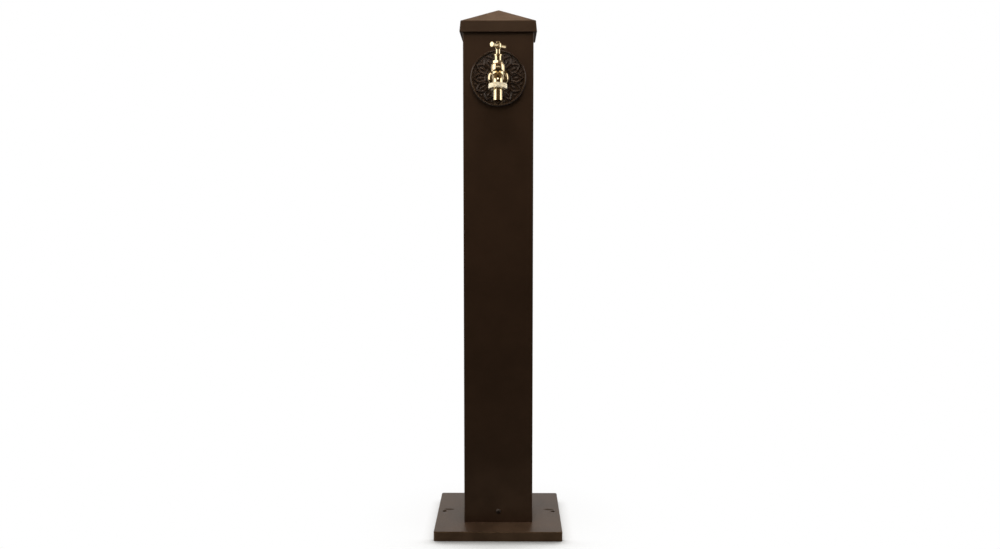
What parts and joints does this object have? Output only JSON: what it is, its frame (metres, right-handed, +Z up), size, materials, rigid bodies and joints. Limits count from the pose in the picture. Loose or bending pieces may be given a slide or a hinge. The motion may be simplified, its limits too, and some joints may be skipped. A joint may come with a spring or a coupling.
{
  "type": "garden water fountain",
  "caption": "Free-standing square garden water post on a cast foot, with an ornamental disc, a screw-down brass bib tap and a hose union.",
  "frame": {"origin": "centre of the foot's underside, midway between the two anchor holes", "axes": "+Z up the post, the tap on the -Y side, the anchor holes along X"},
  "size_m": [0.24, 0.2725, 0.9899],
  "materials": {
    "brown_coat": "satin powder coat",
    "polished_brass": "polished",
    "plain_brass": "as machined",
    "copper": "drawn copper",
    "black_rubber": "matt",
    "red_fibre": "matt fibre",
    "zinc_steel": "zinc plated",
    "dark_screw": "blackened"
  },
  "bodies": {
    "post": {"base_plate": "brown_coat", "post_socket": "brown_coat", "post_tube": "brown_coat", "post_screws": "dark_screw", "top_cap": "brown_coat", "rosette": "brown_coat", "wall_flange": "polished_brass", "tap_body": "polished_brass", "bonnet_seal": "red_fibre", "bonnet": "polished_brass", "gland_packing": "black_rubber", "gland_nut": "polished_brass", "wall_elbow": "plain_brass", "elbow_screws": "zinc_steel", "riser_pipe": "copper", "pipe_nuts": "plain_brass", "olives": "plain_brass", "inlet_coupling": "plain_brass", "pipe_clip": "zinc_steel", "clip_screws": "zinc_steel"},
    "valve": {"jumper": "plain_brass", "jumper_washer": "black_rubber", "jumper_nut": "plain_brass"},
    "handle": {"spindle": "polished_brass", "tee_handle": "polished_brass", "handle_screw": "polished_brass"},
    "hose_tail": {"hose_tail": "polished_brass", "hose_washer": "black_rubber"},
    "hose_nut": {"hose_nut": "polished_brass"}
  },
  "joints": [
    {"name": "valve_lift", "type": "slide", "parent": "post", "child": "valve", "axis": [0, 0, 1], "range_m": [0, 0.005]},
    {"name": "handle_turn", "type": "hinge", "parent": "valve", "child": "handle", "pos_m": [0, -0.112, 0.90965], "axis": [0, 0, 1], "range_deg": [0, 900]},
    {"name": "tail_draw", "type": "slide", "parent": "post", "child": "hose_tail", "axis": [0, -0.1219, -0.9925], "range_m": [0, 0.00363]},
    {"name": "nut_turn", "type": "hinge", "parent": "hose_tail", "child": "hose_nut", "pos_m": [0, -0.13556, 0.83463], "axis": [0, -0.1219, -0.9925], "range_deg": [0, 720]}
  ],
  "couplings": [
    {"joint": "handle_turn", "follows": "valve_lift", "rad_per_m": 3141.6},
    {"joint": "nut_turn", "follows": "tail_draw", "rad_per_m": 3462.7}
  ]
}
